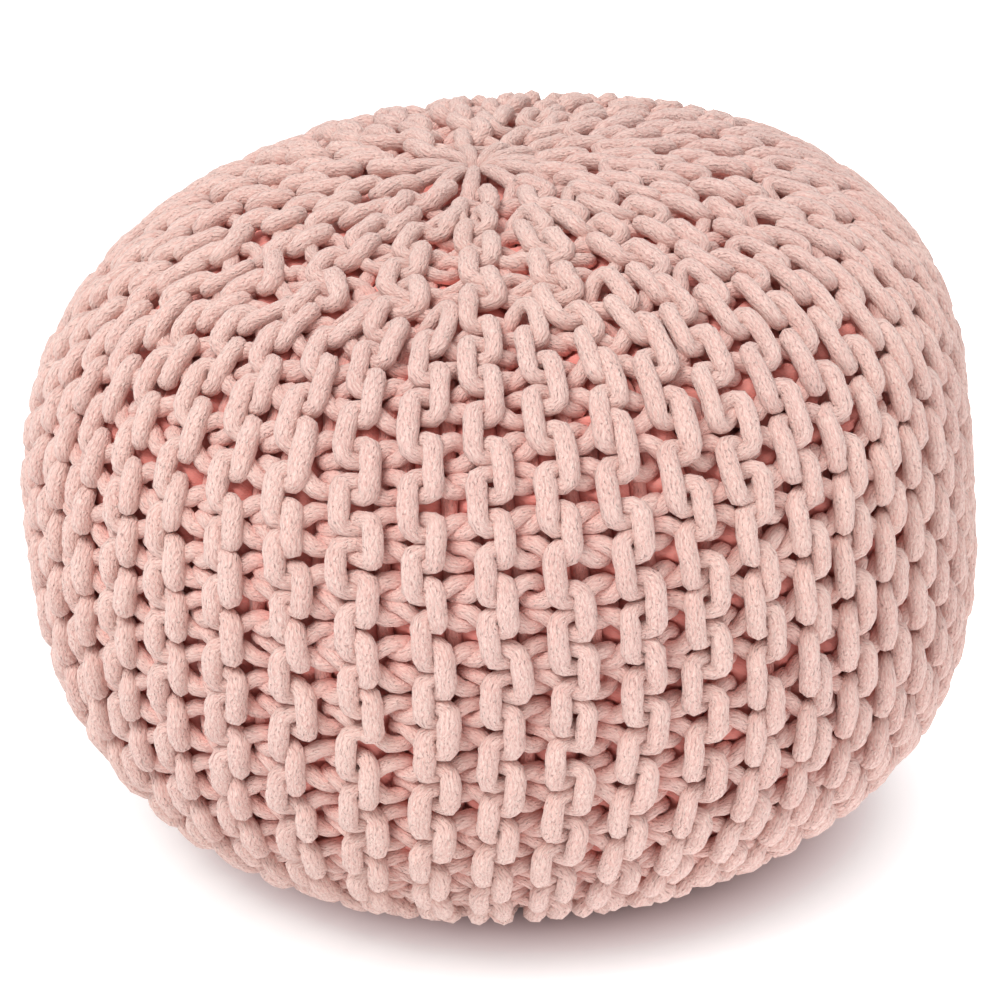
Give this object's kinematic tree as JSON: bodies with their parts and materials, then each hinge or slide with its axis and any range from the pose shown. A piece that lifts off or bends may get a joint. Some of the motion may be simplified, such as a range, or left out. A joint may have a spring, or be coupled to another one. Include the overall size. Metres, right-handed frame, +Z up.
{
  "type": "knitted pouf",
  "caption": "Low round pouf: a chunky garter-stitch cover of thick soft cotton cord, drawn in at the top, over a stuffed inner casing.",
  "frame": {"origin": "on the floor, under the middle of the pouf's box", "axes": "+Z up; -Y is the front; +X is the fuller side"},
  "size_m": [0.5024, 0.4998, 0.3693],
  "materials": {
    "cotton_cord": "matte thick knitted cotton cord, blush pink",
    "casing_cloth": "matte smooth woven cloth, salmon pink"
  },
  "bodies": {
    "root": {"knitted_cover": "cotton_cord", "inner_casing": "casing_cloth"}
  },
  "joints": []
}
